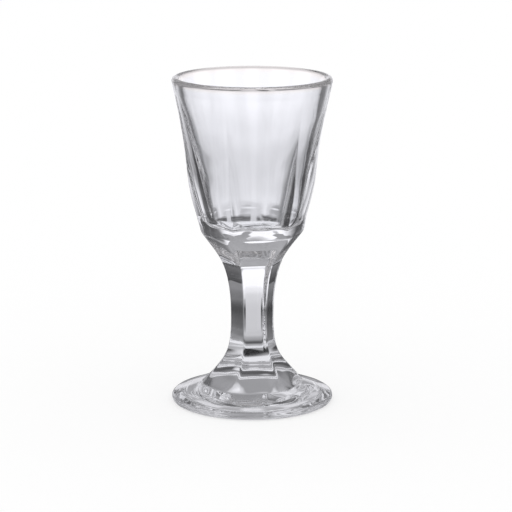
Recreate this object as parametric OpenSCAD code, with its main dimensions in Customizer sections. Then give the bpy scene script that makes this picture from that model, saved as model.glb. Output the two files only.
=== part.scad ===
// Pressed cordial glass: a six-panelled bowl on a six-sided stem and a round foot.
// Heights are measured from the table, and the axis of the glass is the Z axis.

/* [Glass] */
// Height from the table to the top of the rim
glass_h = 97; // [91:1:105]
// Angle that the front panel is turned to the right, in degrees
panel_turn = 10; // [0:1:30]
// Width of the rounded edge between two panels
edge_w = 0.5; // [0.3:0.1:1]

/* [Bowl] */
// Diameter across the widest part of the rim
rim_d = 47; // [44:0.5:52]
// Thickness of the glass at the rim
rim_wall = 2.3; // [1.8:0.1:3]
// Diameter over the corners at the shoulder, low on the bowl
shoulder_d = 31.2; // [29:0.2:33]
// Height of the shoulder above the joint with the stem
shoulder_rise = 11.5; // [10.5:0.25:12.5]
// Height of the round band under the shoulder
shoulder_band = 1.8; // [1.2:0.1:2.4]
// Diameter of the bowl's floor, measured into the corner
floor_d = 20.5; // [15:0.5:21]
// Height of the bowl's floor above the joint with the stem
floor_rise = 12; // [11:0.25:14]
// Radius of the corner between the floor and the wall
floor_corner_r = 2.4; // [1.5:0.1:3.5]
// Distance below the top of the rim at which the bowl's panels have faded into the round
panel_drop = 4; // [3:0.5:8]
// Height above the joint with the stem at which the bowl's panels start to rise out of the shoulder
panel_start = 10.5; // [10.25:0.25:11.5]
// Height over which the bowl's panels rise out of the shoulder
panel_rise = 5; // [4.5:0.25:6]

/* [Stem] */
// Length of the stem between its two joints
stem_h = 26.5; // [24:0.5:29]
// Diameter over the corners at the waist, the thinnest place
waist_d = 12.8; // [11.5:0.1:14]
// Height of the waist above the joint with the foot
waist_rise = 10; // [8:0.5:13]
// Height of the arches that end the stem's panels, above the joint with the bowl
arch_rise = 14; // [13:0.25:14.5]

/* [Foot] */
// Height of the foot up to its joint with the stem
foot_h = 15; // [13.5:0.5:17]
// Diameter of the foot
foot_d = 48; // [44:0.5:54]
// Thickness of the foot's rounded edge
foot_edge_h = 2.1; // [1.8:0.1:2.6]
// Width of the sloping band round the foot's edge
foot_band_w = 3.1; // [2.6:0.1:3.8]
// Height of the ridge along the inner side of that band
ridge_z = 3; // [2.8:0.1:3.4]
// Diameter at which the flare runs out onto the foot's disc
flare_d = 30; // [26:0.2:32]
// Height at which the flare runs out onto the foot's disc
flare_z = 5.3; // [4.7:0.1:6]
// Height over which the panels fade out above that place
flare_fade = 4.2; // [3:0.1:6]
// Diameter of the hollow under the foot
hollow_d = 38; // [30:0.5:41]
// Depth of the hollow under the foot
hollow_h = 1.2; // [0.6:0.1:2]

/* [Hidden] */
$fn = 96;

panels = 6;
half_panel = 180 / panels;
glass_colour = [0.88, 0.91, 0.93];

// Heights that the sizes above set.
joint_z = foot_h + stem_h;
shoulder_z = joint_z + shoulder_rise;
shoulder_low_z = shoulder_z - shoulder_band;
floor_z = joint_z + floor_rise;
arch_z = joint_z + arch_rise;
panel_start_z = joint_z + panel_start;
panel_low_z = panel_start_z + panel_rise;
panel_top_z = glass_h - panel_drop;
waist_z = foot_h + waist_rise;
lip_r = rim_wall / 2;
lip_z = glass_h - lip_r;

// Distance that a faded panel stands outside the round outline, so that it cuts nothing there.
faded_gap = edge_w / 10;
// Distance from the axis that lies outside everything.
reach = max(rim_d, foot_d) / 2 + rim_wall;

// Shares of each curve's run, outward and upward, that place its handles.
flare_shares = [0.67, 0.4];
waist_low_shares = [0, 0.65];
waist_high_shares = [0, 0.66];
shoulder_shares = [0.52, 0.26];
belly_shares = [0.75, 0.44];
brim_shares = [0.83, 0.72];
shoulder_low_share = 0.97;
panel_flat_share = 0.5;
arch_start_share = 0.04;
arch_bend_share = 0.43;
arch_least_share = 0.2;
arch_most_share = 0.6;
hollow_step_share = 0.9;
hollow_flat_share = 0.4;

function along(start, run, shares) = start + [run[0] * shares[0], run[1] * shares[1]];
function between(low, high, z) = max(0, min(1, (z - low) / (high - low)));
function eased(t) = t * t * (3 - 2 * t);
function steps(from, to, count) = [for (i = [0 : count - 1]) from + (to - from) * i / count];

// Points of a curve that runs from a to d, drawn towards the handles b and c.
function curve(a, b, c, d, count) = [
    for (i = [0 : count])
    let (t = i / count, u = 1 - t)
    u * u * u * a + 3 * u * u * t * b + 3 * u * t * t * c + t * t * t * d
];

// A curve between two places whose handles lie at shares of the run between them.
function run_curve(a, d, a_shares, d_shares, count) =
    curve(a, along(a, d - a, a_shares), along(d, a - d, d_shares), d, count);

// Points of an arc about a centre, from one angle to another.
function arc(centre, radius, from, to, count) = [
    for (i = [0 : count])
    let (t = from + (to - from) * i / count)
    centre + radius * [cos(t), sin(t)]
];

// The outline over the corners, as radius and height, from the foot's disc to the lip.
flare_end = [flare_d / 2, flare_z];
waist = [waist_d / 2, waist_z];
shoulder_low = [shoulder_d / 2 * shoulder_low_share, shoulder_low_z];
shoulder = [shoulder_d / 2, shoulder_z];
brim = [rim_d / 2, lip_z];
outline = concat(
    run_curve(flare_end, waist, flare_shares, waist_low_shares, 24),
    run_curve(waist, shoulder_low, waist_high_shares, shoulder_shares, 24),
    run_curve(shoulder, brim, belly_shares, brim_shares, 24)
);
radius_by_height = [for (p = outline) [p[1], p[0]]];
function corner_r(z) = lookup(z, radius_by_height);

// Half the angle that a panel spans between the rounded edges.
function flat_half(z) = half_panel - asin(edge_w / 2 / corner_r(z));

// Distance of a stem panel from the axis, as it fades into the round at the flare's end.
function panel_r(z) =
    let (full = corner_r(z) * cos(flat_half(z)))
    let (fade = 1 - eased(between(flare_z, flare_z + flare_fade, z)))
    full + (corner_r(z) + faded_gap - full) * fade;

foot_heights = steps(flare_z, foot_h, 15);
stem_heights = steps(foot_h, joint_z, 10);

// The panels bend halfway between the heights at which the round outline bends.
function middles(list) = [for (i = [1 : len(list) - 1]) (list[i - 1] + list[i]) / 2];
panel_heights = concat([flare_z], middles(concat(foot_heights, stem_heights, [joint_z])), [joint_z]);

function side(heights) = [for (z = heights) [corner_r(z), z]];

// Everything on the inner side of one stem panel, from the foot's disc to the joint with the bowl.
module panel_side() {
    face = [for (z = panel_heights) [panel_r(z), z]];
    below = [[-reach, -reach], [reach, -reach], [reach, flare_z]];
    above = [[panel_r(joint_z), glass_h], [-reach, glass_h]];
    rotate([90, 0, 0])
        linear_extrude(height = 2 * reach, center = true)
            polygon(concat(below, face, above));
}

// A turned shape with the six panels cut into it.
module panelled(profile) {
    intersection() {
        rotate_extrude() polygon(profile);
        intersection_for(index = [0 : panels - 1])
            rotate(panel_turn - 90 + index * 2 * half_panel) panel_side();
    }
}

// How flat the bowl's panels are: nothing under the shoulder, most above it, and less towards the rim.
function flatness(z) =
    panel_flat_share * eased(between(panel_start_z, panel_low_z, z)) * (1 - between(panel_low_z, panel_top_z, z));

// Radius of the bowl at an angle from a panel's middle.
function bowl_r(z, off) =
    let (panel = min(1, cos(flat_half(z)) / cos(off)))
    corner_r(z) * (1 - flatness(z) * (1 - panel));

// Half the angle that an arch spans at a height, from a full panel down to nothing at its top.
arch_low_z = joint_z + arch_rise * arch_start_share;
function arch_half(z) =
    min(flat_half(z), half_panel * pow(1 - between(arch_low_z, arch_z, z), arch_bend_share));

// Radius of the bowl with the stem's arches cut into its lower end.
function outer_r(z, off) =
    let (half = arch_half(z))
    z < arch_z ? min(bowl_r(z, off), bowl_r(z, half) * cos(half) / cos(off)) : bowl_r(z, off);

// Angles across a panel for one ring of points, which follow the sides of the arch.
function ring_angles(z) =
    let (flat = flat_half(z))
    let (arch = z < arch_z ? arch_half(z) / flat : 0)
    let (spread = arch_least_share + (arch_most_share - arch_least_share) * between(arch_z, panel_top_z, z))
    let (inner = flat * max(spread, min(arch_most_share, arch)))
    let (outer = (inner + flat) / 2)
    [-flat, -outer, -inner, -inner / 2, 0, inner / 2, inner, outer, flat, half_panel];

// One ring of points round the bowl, either round or with the panels.
function ring(radius, z, has_panels) = [
    for (index = [0 : panels - 1], off = ring_angles(z))
    let (r = has_panels ? outer_r(z, off) : radius)
    let (turn = panel_turn - 90 + index * 2 * half_panel + off)
    [r * cos(turn), r * sin(turn), z]
];

// A closed solid through rings of equal counts, with a point in the middle of its first and last ring.
module lofted(rings) {
    count = len(rings[0]);
    last = len(rings) - 1;
    first_middle = [0, 0, rings[0][0][2]];
    last_middle = [0, 0, rings[last][0][2]];
    points = concat([first_middle], [for (r = rings, p = r) p], [last_middle]);
    first_faces = [for (i = [0 : count - 1]) [0, 1 + i, 1 + (i + 1) % count]];
    side_faces = [
        for (row = [0 : last - 1], i = [0 : count - 1])
        let (a = 1 + row * count, j = (i + 1) % count)
        each [[a + i, a + count + i, a + count + j], [a + i, a + count + j, a + j]]
    ];
    end = 1 + last * count;
    last_faces = [for (i = [0 : count - 1]) [end + i, len(points) - 1, end + (i + 1) % count]];
    polyhedron(points, concat(first_faces, side_faces, last_faces));
}

bowl_heights = concat(
    steps(joint_z, shoulder_low_z, 7),
    steps(shoulder_low_z, shoulder_z, 2),
    steps(shoulder_z, arch_z, 4),
    steps(arch_z, panel_low_z, 3),
    steps(panel_low_z, panel_top_z, 12),
    steps(panel_top_z, lip_z, 3)
);

// The inside of the bowl: over the rounded lip, down the wall and round the corner to the floor.
lip_centre = [rim_d / 2 - lip_r, lip_z];
wall_slope = atan2(lip_z - floor_z, rim_d / 2 - rim_wall - floor_d / 2);
corner_centre = [floor_d / 2 - floor_corner_r * tan(wall_slope / 2), floor_z + floor_corner_r];
lip_arc = arc(lip_centre, lip_r, 0, wall_slope + 90, 8);
floor_arc = arc(corner_centre, floor_corner_r, wall_slope - 90, -90, 6);

// The underside: a rounded edge, a flat ring to stand on and a shallow hollow inside it.
edge_r = foot_edge_h / 2;
edge_centre = [foot_d / 2 - edge_r, edge_r];
ridge = [foot_d / 2 - foot_band_w, ridge_z];
to_ridge = ridge - edge_centre;
band_angle = atan2(to_ridge[1], to_ridge[0]) - acos(edge_r / norm(to_ridge));
edge_arc = arc(edge_centre, edge_r, -90, band_angle, 10);
hollow_rim = [hollow_d / 2, 0];
hollow_top = [0, hollow_h];
hollow_curve = curve(
    hollow_top,
    [hollow_d / 2 * hollow_flat_share, hollow_h],
    [hollow_d / 2 * hollow_step_share, hollow_h],
    hollow_rim,
    10
);

module bowl() {
    color(glass_colour)
        lofted(concat(
            [for (z = bowl_heights) ring(corner_r(z), z, true)],
            [for (p = concat(lip_arc, floor_arc)) ring(p[0], p[1], false)]
        ));
}

module stem() {
    color(glass_colour)
        panelled(concat(
            [[0, foot_h]],
            side(stem_heights),
            [[corner_r(joint_z), joint_z], [0, joint_z]]
        ));
}

module foot() {
    color(glass_colour)
        panelled(concat(
            hollow_curve,
            edge_arc,
            [ridge],
            side(foot_heights),
            [[corner_r(foot_h), foot_h], [0, foot_h]]
        ));
}

bowl();
stem();
foot();
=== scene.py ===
import math

import bpy
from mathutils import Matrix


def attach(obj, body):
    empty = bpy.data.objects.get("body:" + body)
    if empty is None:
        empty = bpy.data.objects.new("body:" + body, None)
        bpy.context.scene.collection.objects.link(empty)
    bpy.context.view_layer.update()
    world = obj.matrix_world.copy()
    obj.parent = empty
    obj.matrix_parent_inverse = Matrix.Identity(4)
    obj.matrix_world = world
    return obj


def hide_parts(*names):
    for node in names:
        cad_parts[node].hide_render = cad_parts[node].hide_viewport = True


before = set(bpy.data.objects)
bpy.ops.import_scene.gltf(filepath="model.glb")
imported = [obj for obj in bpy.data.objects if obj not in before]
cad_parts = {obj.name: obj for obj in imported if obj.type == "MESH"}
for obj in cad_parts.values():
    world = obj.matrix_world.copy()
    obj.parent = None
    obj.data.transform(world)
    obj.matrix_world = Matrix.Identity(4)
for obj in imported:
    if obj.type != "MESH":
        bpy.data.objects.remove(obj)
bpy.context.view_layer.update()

MM = 0.001

# Sizes of the glass in millimetres, as in the solid model, whose height is 97 and foot 48 across.
# HEIGHT and FOOT_R are a hair less here, because the solid's round faces are cut into flats
# and the pieces stay inside them.
HEIGHT = 96.99
RIM_R = 23.5
LIP_R = 1.15
FLOOR_Z = 53.5
FLOOR_R = 10.25
FLOOR_CORNER_R = 2.4
SHOULDER_R = 15.6
SHOULDER_Z = 53.0
SHOULDER_LOW_R = 15.13
SHOULDER_LOW_Z = 51.2
ARCH_LOW_Z = 42.0
ARCH_Z = 55.5
ARCH_POWER = 0.43
LEDGE_LOW_Z = 52.0
PANEL_LOW_Z = 57.0
PANEL_TOP_Z = 93.0
FLATNESS = 0.5
ARRIS_SHARP = 40.0
WAIST_R = 6.4
WAIST_Z = 25.0
BOWL_JOINT_Z = 41.5
FOOT_JOINT_Z = 15.0
FLARE_R = 15.0
FLARE_Z = 5.3
FLARE_FADE_Z = 9.5
FLARE_FADE = 0.6
RIDGE_R = 20.9
RIDGE_Z = 2.95
FOOT_R = 23.99
EDGE_R = 1.05
HOLLOW_R = 19.0
HOLLOW_H = 1.2
EDGE_W = 0.5
PANELS = 6
PANEL_TURN = math.radians(10.0)
HALF_PANEL = math.pi / PANELS

# The outline's curves. Each has its two handles, as shares of the run between its ends.
FLARE_HANDLES = ((0.67, 0.4), (0.0, 0.65))
STEM_HANDLES = ((0.0, 0.66), (0.52, 0.26))
BAND_HANDLES = ((0.33, 0.33), (0.33, 0.33))
WALL_HANDLES = ((0.75, 0.44), (0.83, 0.72))
HOLLOW_HANDLES = (0.4, 0.9)

# How finely the meshes are cut. Rows are closest below FINE_ROWS_Z, and columns beside the arrises.
FINE_ROWS_Z = PANEL_LOW_Z + 1.0
FINE_STEPS = 22
COARSE_STEPS = 18
ARRIS_REACH = math.radians(5.0)
# How sharply the stem's panels meet the round outline and each other.
STEM_SHARP = 90.0
# The bowl's arrises get no sharper than at this flatness.
LEAST_FLAT = 0.1
# A radius below this, in millimetres, is a point on the axis.
ON_AXIS = 1e-6

# The photograph's camera, in metres, degrees and millimetres of lens.
CAMERA_PLACE = (0.0, -0.6199, 0.1841)
CAMERA_DIP = 12.78
CAMERA_SENSOR = 36.0
CAMERA_LENS = 151.17
CAMERA_SHIFT = 0.0074

# The glass. Its tints multiply the light that passes, and the lip's starts at LIP_LOW_Z.
# The waves' depth is in metres, and the haze is the most roughness that its noise gives.
GLASS_IOR = 1.52
GLASS_TINT = (0.985, 0.99, 1.0, 1.0)
LIP_TINT = (0.99, 0.95, 0.92, 1.0)
LIP_LOW_Z = 94.5
WAVE_SCALE = 90.0
WAVE_DETAIL = 1.0
WAVE_DEPTH = 0.00014
HAZE_SCALE = 160.0
HAZE_DETAIL = 3.0
HAZE_RANGE = (0.35, 0.75)
HAZE_MOST = 0.008

# The studio that rays through the glass see. White panels of the world's light stand behind the glass and
# round it, with duller stretches between them; on the floor the same panels are painted light, a glow that
# only rays from the glass see. Each panel has its direction and the half widths
# where it starts and ends to fade, in degrees.
BACK_PANEL = (90.0, 22.0, 40.0)
SIDE_PANELS = (
    (0.0, 10.0, 24.0),
    (180.0, 10.0, 24.0),
    (225.0, 10.0, 20.0),
    (270.0, 6.0, 14.0),
    (315.0, 10.0, 20.0),
)
# The studio's light, and the painted light on the floor, are faintly blue.
SHADE_TINT = (0.965, 0.96, 1.0, 1.0)
WHITE = (1.0, 1.0, 1.0, 1.0)

# The floor, in metres. It lies a hair below the foot, so that the two never share a plane.
FLOOR_HALF = 3.0
FLOOR_DROP = -0.00005
FLOOR_GREY = 0.4
FLOOR_SPAN = 0.5
# Places along the floor from the glass outward, as shares of the span, and the level of painted light at
# each:
# painted shade right by the glass, and painted bright and dark rings round it, sharpest behind.
FLOOR_BACK = (
    (0.0, 0.01), (0.02, 0.02), (0.026, 0.05), (0.034, 0.7), (0.042, 0.06), (0.056, 0.5), (0.068, 0.08),
    (0.09, 0.4), (0.11, 0.6), (0.16, 0.65), (0.25, 0.66), (0.4, 0.74), (0.6, 0.92), (1.0, 1.12),
)
FLOOR_SIDE = (
    (0.0, 0.3), (0.03, 0.8), (0.06, 0.7), (0.1, 0.5), (0.16, 0.4), (0.25, 0.4), (0.4, 0.6), (0.6, 0.95),
    (1.0, 1.1),
)
FLOOR_DULL = (
    (0.0, 0.3), (0.03, 0.5), (0.05, 0.25), (0.1, 0.16), (0.16, 0.1), (0.25, 0.05), (0.4, 0.17), (1.0, 0.25),
)
# Heights up the sky, from the horizon at 0 to overhead at 1, and the level at each.
SKY_BACK = ((0.0, 1.12), (0.09, 1.1), (0.12, 0.7), (0.16, 0.35), (0.33, 0.4), (0.6, 0.3), (1.0, 0.4))
SKY_SIDE = ((0.0, 0.95), (0.08, 0.9), (0.16, 0.85), (0.33, 0.65), (0.6, 0.4), (1.0, 0.4))
SKY_DULL = ((0.0, 0.05), (0.08, 0.08), (0.16, 0.12), (0.33, 0.15), (0.6, 0.15), (1.0, 0.4))
# A painted shadow of the glass on the floor behind it, split by a painted line of light straight behind the
# stem:
# its depth at places along the floor, then where the line and the patch end, in degrees to each side.
SHADOW = ((0.0, 0.0), (0.1, 0.0), (0.16, 0.6), (0.25, 0.9), (0.34, 0.4), (0.42, 0.0))
SHADOW_LINE = (3.0, 6.0)
SHADOW_SIDE = (22.0, 34.0)
# Rays from the glass that meet the floor steeply find it plain, except right under the stem, where its
# painted shade stays.
# STEEP is a range of Layer Weight's facing value, which is 0 for a ray straight down,
# and STEEP_START is where the plain floor sets in, as a share of the span.
STEEP = (0.28, 0.38)
STEEP_START = (0.018, 0.03)
STEEP_LEVEL = 0.88

# How often light may pass or bounce. Rays cross many glass surfaces here.
GLASS_BOUNCES = 32
DIFFUSE_BOUNCES = 8


def make_camera():
    """The photograph's camera, found from how the rim and the foot look in perspective."""
    data = bpy.data.cameras.new("camera")
    data.sensor_width = CAMERA_SENSOR
    data.lens = CAMERA_LENS
    data.shift_x = CAMERA_SHIFT
    camera = bpy.data.objects.new("camera", data)
    camera.location = CAMERA_PLACE
    camera.rotation_euler = (math.radians(90.0 - CAMERA_DIP), 0.0, 0.0)
    bpy.context.scene.collection.objects.link(camera)
    bpy.context.scene.camera = camera


def bezier(a, b, c, d, count):
    """Points of a curve from a to d, drawn towards the handles b and c, in count steps."""
    points = []
    for i in range(count + 1):
        t = i / count
        u = 1.0 - t
        weights = (u * u * u, 3 * u * u * t, 3 * u * t * t, t * t * t)
        points.append(tuple(sum(w * p[k] for w, p in zip(weights, (a, b, c, d))) for k in (0, 1)))
    return points


def run_curve(a, d, a_shares, d_shares, count):
    """A curve whose handles lie at shares of the run between its ends."""
    run = (d[0] - a[0], d[1] - a[1])
    b = (a[0] + run[0] * a_shares[0], a[1] + run[1] * a_shares[1])
    c = (d[0] - run[0] * d_shares[0], d[1] - run[1] * d_shares[1])
    return bezier(a, b, c, d, count)


def arc(centre, radius, start, end, count):
    """Points of an arc, with its angles in radians."""
    points = []
    for i in range(count + 1):
        t = start + (end - start) * i / count
        points.append((centre[0] + radius * math.cos(t), centre[1] + radius * math.sin(t)))
    return points


def between(low, high, value):
    """How far a value has gone from low to high, kept from 0 to 1."""
    return max(0.0, min(1.0, (value - low) / (high - low)))


def eased(t):
    """A share from 0 to 1 that starts and ends slowly."""
    return t * t * (3.0 - 2.0 * t)


# The outline over the corners, from the foot's flare to the rim.
FLARE = run_curve((FLARE_R, FLARE_Z), (WAIST_R, WAIST_Z), *FLARE_HANDLES, 60)
STEM = run_curve((WAIST_R, WAIST_Z), (SHOULDER_LOW_R, SHOULDER_LOW_Z), *STEM_HANDLES, 70)
BAND = run_curve((SHOULDER_LOW_R, SHOULDER_LOW_Z), (SHOULDER_R, SHOULDER_Z), *BAND_HANDLES, 8)
WALL = run_curve((SHOULDER_R, SHOULDER_Z), (RIM_R, HEIGHT - LIP_R), *WALL_HANDLES, 120)
SIDE = FLARE + STEM[1:] + BAND[1:] + WALL[1:]


def foot_fade(z):
    """How far a foot panel has faded into the round outline: 0 is a full panel and 1 would be none."""
    return FLARE_FADE * (1.0 - eased(between(FLARE_Z, FLARE_FADE_Z, z)))


def flatness(z):
    """How flat the bowl's panels are: 0 is round."""
    rise = eased(between(LEDGE_LOW_Z, PANEL_LOW_Z, z))
    fall = 1.0 - between(PANEL_LOW_Z, PANEL_TOP_Z, z)
    return FLATNESS * rise * fall


def bowl_section(z, off):
    """Radius of the bowl at an angle off a panel's middle, as a share of the radius over the corners."""
    flat = flatness(z)
    if flat <= 0.0:
        return 1.0
    sharp = ARRIS_SHARP / max(flat, LEAST_FLAT)
    apothem = math.cos(HALF_PANEL)
    near, next_one = math.cos(off), math.cos(2 * HALF_PANEL - abs(off))
    hexagon = ((near / apothem) ** sharp + (next_one / apothem) ** sharp) ** (-1.0 / sharp)
    return 1.0 - flat * (1.0 - hexagon)


def arch_distance(radius, z):
    """Distance of an arched stem panel's face from the axis."""
    full = radius * math.cos(HALF_PANEL - math.asin(EDGE_W / 2 / radius))
    if z < ARCH_LOW_Z:
        return full
    half = HALF_PANEL * (1.0 - between(ARCH_LOW_Z, ARCH_Z, z)) ** ARCH_POWER
    return min(full, radius) if half >= HALF_PANEL else radius * bowl_section(z, half) * math.cos(half)


def panelled_radius(radius, z, turn):
    """Radius of the outline at an angle, with the arrises softened."""
    if z >= PANEL_TOP_Z:
        return radius
    off = (turn + HALF_PANEL) % (2 * HALF_PANEL) - HALF_PANEL
    body = radius * bowl_section(z, off)
    if z >= ARCH_Z:
        return body
    distance = arch_distance(radius, z)
    if z < WAIST_Z:
        distance += (radius - distance) * foot_fade(z)
    total = (1.0 / body) ** STEM_SHARP + (math.cos(off) / distance) ** STEM_SHARP
    total += (math.cos(2 * HALF_PANEL - abs(off)) / distance) ** STEM_SHARP
    return total ** (-1.0 / STEM_SHARP)


def ring_angles():
    """Angles round the axis, closer together beside the arrises."""
    angles = []
    half_fine = FINE_STEPS // 2
    flat = HALF_PANEL - ARRIS_REACH
    for panel in range(PANELS):
        middle = panel * 2 * HALF_PANEL
        steps = [-HALF_PANEL + ARRIS_REACH * i / half_fine for i in range(half_fine)]
        steps += [-flat + 2 * flat * i / COARSE_STEPS for i in range(COARSE_STEPS)]
        steps += [flat + ARRIS_REACH * i / half_fine for i in range(half_fine)]
        angles += [middle + s for s in steps]
    return angles


def radius_at(z):
    """Radius over the corners at a height."""
    low, high = 0, len(SIDE) - 1
    while high - low > 1:
        middle = (low + high) // 2
        if SIDE[middle][1] <= z:
            low = middle
        else:
            high = middle
    (r0, z0), (r1, z1) = SIDE[low], SIDE[high]
    return r0 + (r1 - r0) * (z - z0) / (z1 - z0)


def side_rows(low, high, count):
    """Points of the outside over the corners, between two heights."""
    heights = [low + (high - low) * i / count for i in range(count + 1)]
    return [(radius_at(z), z) for z in heights]


def shaped(points, start=1.0, end=1.0):
    """Points with how far the panels shape each, from the first to the last."""
    last = max(1, len(points) - 1)
    return [(r, z, start + (end - start) * i / last) for i, (r, z) in enumerate(points)]


def line(a, b, count):
    """Points of a straight line, evenly apart."""
    return [(a[0] + (b[0] - a[0]) * i / count, a[1] + (b[1] - a[1]) * i / count) for i in range(count + 1)]


def joined(*runs):
    """One list of points from several that share their ends."""
    points = list(runs[0])
    for run in runs[1:]:
        points += run[1:]
    return points


def turned_piece(name, points, caps):
    """A closed mesh turned from an outline that runs from axis to axis.

    Each point has a radius, a height and how far the panels shape it, from 0 for a plain round.
    caps says which of the two ends are joint faces.
    """
    angles = ring_angles()
    count = len(angles)
    vertices, rings = [], []
    for radius, z, panelled in points:
        if radius < ON_AXIS:
            rings.append([len(vertices)])
            vertices.append((0.0, 0.0, z * MM))
            continue
        ring = []
        for angle in angles:
            r = radius + (panelled_radius(radius, z, angle) - radius) * panelled if panelled else radius
            turn = angle + PANEL_TURN - math.pi / 2
            ring.append(len(vertices))
            vertices.append((r * math.cos(turn) * MM, r * math.sin(turn) * MM, z * MM))
        rings.append(ring)
    faces, slots = [], []
    for row in range(len(rings) - 1):
        a, b = rings[row], rings[row + 1]
        slot = 1 if (row == 0 and caps[0]) or (row == len(rings) - 2 and caps[1]) else 0
        for i in range(count):
            j = (i + 1) % count
            if len(a) == 1:
                face = (a[0], b[j], b[i])
            elif len(b) == 1:
                face = (a[i], a[j], b[0])
            else:
                face = (a[i], a[j], b[j], b[i])
            faces.append(face)
            slots.append(slot)
    mesh = bpy.data.meshes.new(name)
    mesh.from_pydata(vertices, [], faces)
    mesh.update()
    mesh.polygons.foreach_set("use_smooth", [True] * len(faces))
    mesh.polygons.foreach_set("material_index", slots)
    sharp = mesh.attributes.new("sharp_edge", "BOOLEAN", "EDGE")
    kinds = {}
    for polygon in mesh.polygons:
        for key in polygon.edge_keys:
            kinds.setdefault(key, set()).add(polygon.material_index)
    for edge in mesh.edges:
        sharp.data[edge.index].value = len(kinds[edge.key]) > 1
    piece = bpy.data.objects.new(name, mesh)
    bpy.context.scene.collection.objects.link(piece)
    return piece


def make_bowl():
    lip_centre = (RIM_R - LIP_R, HEIGHT - LIP_R)
    wall_slope = math.atan2(HEIGHT - LIP_R - FLOOR_Z, RIM_R - 2 * LIP_R - FLOOR_R)
    corner = (FLOOR_R - FLOOR_CORNER_R * math.tan(wall_slope / 2), FLOOR_Z + FLOOR_CORNER_R)
    lip = arc(lip_centre, LIP_R, 0.0, wall_slope + math.pi / 2, 26)
    bend = arc(corner, FLOOR_CORNER_R, wall_slope - math.pi / 2, -math.pi / 2, 16)
    outside = joined(
        [(0.0, BOWL_JOINT_Z), (radius_at(BOWL_JOINT_Z), BOWL_JOINT_Z)],
        side_rows(BOWL_JOINT_Z, FINE_ROWS_Z, 96),
        side_rows(FINE_ROWS_Z, PANEL_TOP_Z, 64),
        side_rows(PANEL_TOP_Z, HEIGHT - LIP_R, 16),
    )
    inside = joined(lip, line(lip[-1], bend[0], 40), bend, line(bend[-1], (0.0, FLOOR_Z), 6))
    return turned_piece("glass_bowl", shaped(outside) + shaped(inside[1:], 0.0, 0.0), (True, False))


def make_stem():
    outside = joined(
        [(0.0, FOOT_JOINT_Z), (radius_at(FOOT_JOINT_Z), FOOT_JOINT_Z)],
        side_rows(FOOT_JOINT_Z, BOWL_JOINT_Z, 110),
        [(radius_at(BOWL_JOINT_Z), BOWL_JOINT_Z), (0.0, BOWL_JOINT_Z)],
    )
    return turned_piece("glass_stem", shaped(outside), (True, True))


def make_foot():
    centre = (FOOT_R - EDGE_R, EDGE_R)
    to_ridge = (RIDGE_R - centre[0], RIDGE_Z - centre[1])
    bevel = math.atan2(to_ridge[1], to_ridge[0]) - math.acos(EDGE_R / math.hypot(*to_ridge))
    edge = arc(centre, EDGE_R, -math.pi / 2, bevel, 26)
    handles = [(share * HOLLOW_R, HOLLOW_H) for share in HOLLOW_HANDLES]
    hollow = bezier((0.0, HOLLOW_H), *handles, (HOLLOW_R, 0.0), 24)
    below = joined(hollow, line(hollow[-1], edge[0], 3), edge, line(edge[-1], (RIDGE_R, RIDGE_Z), 8))
    disc = line((RIDGE_R, RIDGE_Z), (FLARE_R, FLARE_Z), 14)
    flare = joined(
        side_rows(FLARE_Z, FOOT_JOINT_Z, 60),
        [(radius_at(FOOT_JOINT_Z), FOOT_JOINT_Z), (0.0, FOOT_JOINT_Z)],
    )
    points = shaped(below, 0.0, 0.0) + shaped(disc, 0.0, 1.0)[1:] + shaped(flare)[1:]
    return turned_piece("glass_foot", points, (False, True))


class Nodes:
    """Short calls that add shader nodes to one tree."""

    def __init__(self, tree):
        self.tree = tree

    def add(self, kind, **settings):
        node = self.tree.nodes.new(kind)
        for name, value in settings.items():
            setattr(node, name, value)
        return node

    def plug(self, socket, value):
        if isinstance(value, bpy.types.NodeSocket):
            self.tree.links.new(value, socket)
        else:
            socket.default_value = value

    def math(self, operation, *values, clamp=False):
        node = self.add("ShaderNodeMath", operation=operation, use_clamp=clamp)
        for socket, value in zip(node.inputs, values):
            self.plug(socket, value)
        return node.outputs[0]

    def smooth(self, value, low, high, start=0.0, end=1.0):
        """A value taken smoothly from start to end between two places."""
        node = self.add("ShaderNodeMapRange", interpolation_type="SMOOTHSTEP")
        names = ("Value", "From Min", "From Max", "To Min", "To Max")
        for name, setting in zip(names, (value, low, high, start, end)):
            self.plug(node.inputs[name], setting)
        return node.outputs[0]

    def curve(self, value, places):
        """A value read from a smooth curve through places, each a position from 0 to 1 and a level."""
        node = self.add("ShaderNodeValToRGB")
        ramp = node.color_ramp
        ramp.interpolation = "EASE"
        while len(ramp.elements) > 1:
            ramp.elements.remove(ramp.elements[0])
        for index, (position, level) in enumerate(places):
            element = ramp.elements[0] if index == 0 else ramp.elements.new(position)
            element.position = position
            element.color = (level, level, level, 1.0)
        self.plug(node.inputs[0], value)
        return node.outputs[0]

    def noise(self, place, scale, detail):
        node = self.add("ShaderNodeTexNoise")
        for name, value in (("Vector", place), ("Scale", scale), ("Detail", detail)):
            self.plug(node.inputs[name], value)
        return node.outputs[0]

    def times(self, first, second):
        return self.math("MULTIPLY", first, second)

    def length(self, x, y):
        return self.math("SQRT", self.math("ADD", self.times(x, x), self.times(y, y)))

    def mixed(self, share, low, high):
        """low where the share is 0, and high where it is 1."""
        return self.math("ADD", low, self.times(share, self.math("SUBTRACT", high, low)))

    def blend(self, share, first, second):
        """A colour between two."""
        node = self.add("ShaderNodeMix", data_type="RGBA")
        for socket, value in ((node.inputs[0], share), (node.inputs[6], first), (node.inputs[7], second)):
            self.plug(socket, value)
        return node.outputs[2]

    def parts(self, vector):
        """The x, y and z of a vector."""
        node = self.add("ShaderNodeSeparateXYZ")
        self.plug(node.inputs[0], vector)
        return node.outputs


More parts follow.
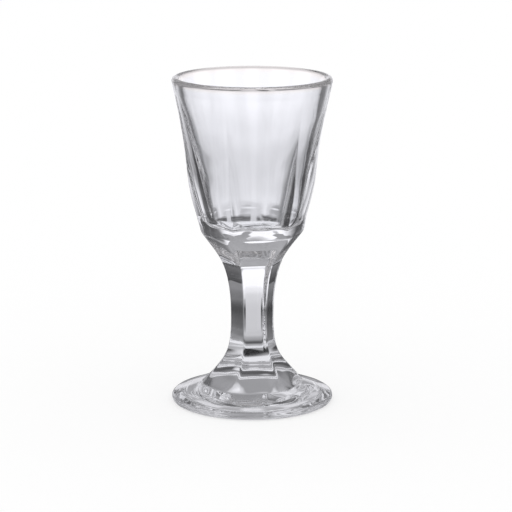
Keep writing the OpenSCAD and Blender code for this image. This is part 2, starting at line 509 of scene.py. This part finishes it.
def glass_material():
    """Clear glass with the slow waves that mould and fire polish leave, a faint haze and a warmer lip."""
    material = bpy.data.materials.new("clear_glass")
    material.use_nodes = True
    nodes = Nodes(material.node_tree)
    shader = material.node_tree.nodes["Principled BSDF"]
    shader.inputs["Transmission Weight"].default_value = 1.0
    shader.inputs["IOR"].default_value = GLASS_IOR
    place = nodes.add("ShaderNodeTexCoord").outputs["Object"]
    height = nodes.parts(place)[2]
    lip = nodes.smooth(height, LIP_LOW_Z * MM, (HEIGHT - LIP_R) * MM)
    nodes.plug(shader.inputs["Base Color"], nodes.blend(lip, GLASS_TINT, LIP_TINT))
    waves = nodes.noise(place, WAVE_SCALE, WAVE_DETAIL)
    bump = nodes.add("ShaderNodeBump")
    bump.inputs["Strength"].default_value = 1.0
    bump.inputs["Distance"].default_value = WAVE_DEPTH
    nodes.plug(bump.inputs["Height"], waves)
    nodes.plug(shader.inputs["Normal"], bump.outputs["Normal"])
    haze = nodes.noise(place, HAZE_SCALE, HAZE_DETAIL)
    nodes.plug(shader.inputs["Roughness"], nodes.smooth(haze, *HAZE_RANGE, 0.0, HAZE_MOST))
    return material


def joint_material():
    """The fused faces between the pieces, where the glass runs on without a surface."""
    material = bpy.data.materials.new("fused_joint")
    material.use_nodes = True
    shader = material.node_tree.nodes["Principled BSDF"]
    shader.inputs["Alpha"].default_value = 0.0
    return material


def angle_off(nodes, x, y, towards):
    """Angle in plan between a direction and another one, which is given in degrees."""
    along = nodes.times(x, math.cos(math.radians(towards)))
    along = nodes.math("ADD", along, nodes.times(y, math.sin(math.radians(towards))))
    return nodes.math("ARCCOSINE", nodes.math("DIVIDE", along, nodes.length(x, y)))


def within(nodes, off, inner, outer):
    """1 at an angle off of up to inner degrees, and 0 from outer degrees."""
    return nodes.smooth(off, math.radians(inner), math.radians(outer), 1.0, 0.0)


def panel_share(nodes, x, y, panels):
    """1 towards one of the panels, and 0 between them."""
    total = 0.0
    for towards, inner, outer in panels:
        off = angle_off(nodes, x, y, towards)
        total = nodes.math("MAXIMUM", total, within(nodes, off, inner, outer))
    return total


def studio_level(nodes, x, y, place, back, side, dull):
    """Brightness in a direction, from the levels behind the glass, before its other panels and between."""
    level = nodes.curve(place, dull)
    level = nodes.mixed(panel_share(nodes, x, y, SIDE_PANELS), level, nodes.curve(place, side))
    return nodes.mixed(panel_share(nodes, x, y, (BACK_PANEL,)), level, nodes.curve(place, back))


def show_by_ray(nodes, plain, glow, level, output):
    """Gives the studio's glow to rays that glass has bent or mirrored, and the plain shader to the rest."""
    glow.inputs["Color"].default_value = SHADE_TINT
    nodes.plug(glow.inputs["Strength"], level)
    path = nodes.add("ShaderNodeLightPath")
    mix = nodes.add("ShaderNodeMixShader")
    bent = nodes.math("MAXIMUM", path.outputs["Is Glossy Ray"], path.outputs["Is Transmission Ray"])
    nodes.plug(mix.inputs[0], bent)
    nodes.plug(mix.inputs[1], plain.outputs[0])
    nodes.plug(mix.inputs[2], glow.outputs[0])
    nodes.plug(output.inputs["Surface"], mix.outputs[0])


def floor_shadow(nodes, x, y, place):
    """The painted shadow of the glass on the floor behind it, with a painted line of light in the middle.
    """
    off = angle_off(nodes, x, y, BACK_PANEL[0])
    beside = nodes.smooth(off, math.radians(SHADOW_LINE[0]), math.radians(SHADOW_LINE[1]))
    return nodes.times(nodes.times(beside, within(nodes, off, *SHADOW_SIDE)), nodes.curve(place, SHADOW))


def floor_painted_light(nodes):
    """Painted light and shade on the floor as the glass shows it, darkest right by the glass."""
    x, y = nodes.parts(nodes.add("ShaderNodeNewGeometry").outputs["Position"])[:2]
    place = nodes.math("DIVIDE", nodes.length(x, y), FLOOR_SPAN)
    level = studio_level(nodes, x, y, place, FLOOR_BACK, FLOOR_SIDE, FLOOR_DULL)
    level = nodes.times(level, nodes.math("SUBTRACT", 1.0, floor_shadow(nodes, x, y, place)))
    facing = nodes.add("ShaderNodeLayerWeight").outputs["Facing"]
    steep = nodes.times(nodes.smooth(facing, *STEEP, 1.0, 0.0), nodes.smooth(place, *STEEP_START))
    return nodes.mixed(steep, level, STEEP_LEVEL)


def floor_material():
    """White paper to the camera, and painted light and shade on the floor to rays from the glass."""
    material = bpy.data.materials.new("floor")
    material.use_nodes = True
    tree = material.node_tree
    nodes = Nodes(tree)
    paper = tree.nodes["Principled BSDF"]
    paper.inputs["Base Color"].default_value = (FLOOR_GREY, FLOOR_GREY, FLOOR_GREY, 1.0)
    paper.inputs["Specular IOR Level"].default_value = 0.0
    paper.inputs["Emission Color"].default_value = WHITE
    paper.inputs["Emission Strength"].default_value = 1.0 - FLOOR_GREY
    glow = nodes.add("ShaderNodeEmission")
    show_by_ray(nodes, paper, glow, floor_painted_light(nodes), tree.nodes["Material Output"])
    return material


def make_floor():
    sides = ((-1, -1), (1, -1), (1, 1), (-1, 1))
    corners = [(x * FLOOR_HALF, y * FLOOR_HALF, FLOOR_DROP) for x, y in sides]
    mesh = bpy.data.meshes.new("floor")
    mesh.from_pydata(corners, [], [(0, 1, 2, 3)])
    mesh.materials.append(floor_material())
    floor = bpy.data.objects.new("floor", mesh)
    bpy.context.scene.collection.objects.link(floor)


def make_world():
    """White light all round, and the studio's sky to rays from the glass."""
    world = bpy.data.worlds.new("world")
    world.use_nodes = True
    bpy.context.scene.world = world
    tree = world.node_tree
    nodes = Nodes(tree)
    x, y, z = nodes.parts(nodes.add("ShaderNodeTexCoord").outputs["Generated"])
    height = nodes.math("MULTIPLY", nodes.math("ARCSINE", z), 2.0 / math.pi, clamp=True)
    level = studio_level(nodes, x, y, height, SKY_BACK, SKY_SIDE, SKY_DULL)
    plain = tree.nodes["Background"]
    plain.inputs["Color"].default_value = WHITE
    glow = nodes.add("ShaderNodeBackground")
    show_by_ray(nodes, plain, glow, level, tree.nodes["World Output"])


def set_bounces():
    """Lets light pass through all the glass surfaces in its way."""
    cycles = bpy.context.scene.cycles
    cycles.max_bounces = GLASS_BOUNCES
    cycles.transmission_bounces = GLASS_BOUNCES
    cycles.glossy_bounces = GLASS_BOUNCES
    cycles.transparent_max_bounces = GLASS_BOUNCES
    cycles.diffuse_bounces = DIFFUSE_BOUNCES


make_camera()
bpy.context.scene.view_settings.view_transform = "Standard"
set_bounces()
glass = glass_material()
joint = joint_material()
for piece, node in ((make_bowl(), "bowl"), (make_stem(), "stem"), (make_foot(), "foot")):
    piece.data.materials.append(glass)
    piece.data.materials.append(joint)
    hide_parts(node)
    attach(piece, "root")
make_floor()
make_world()
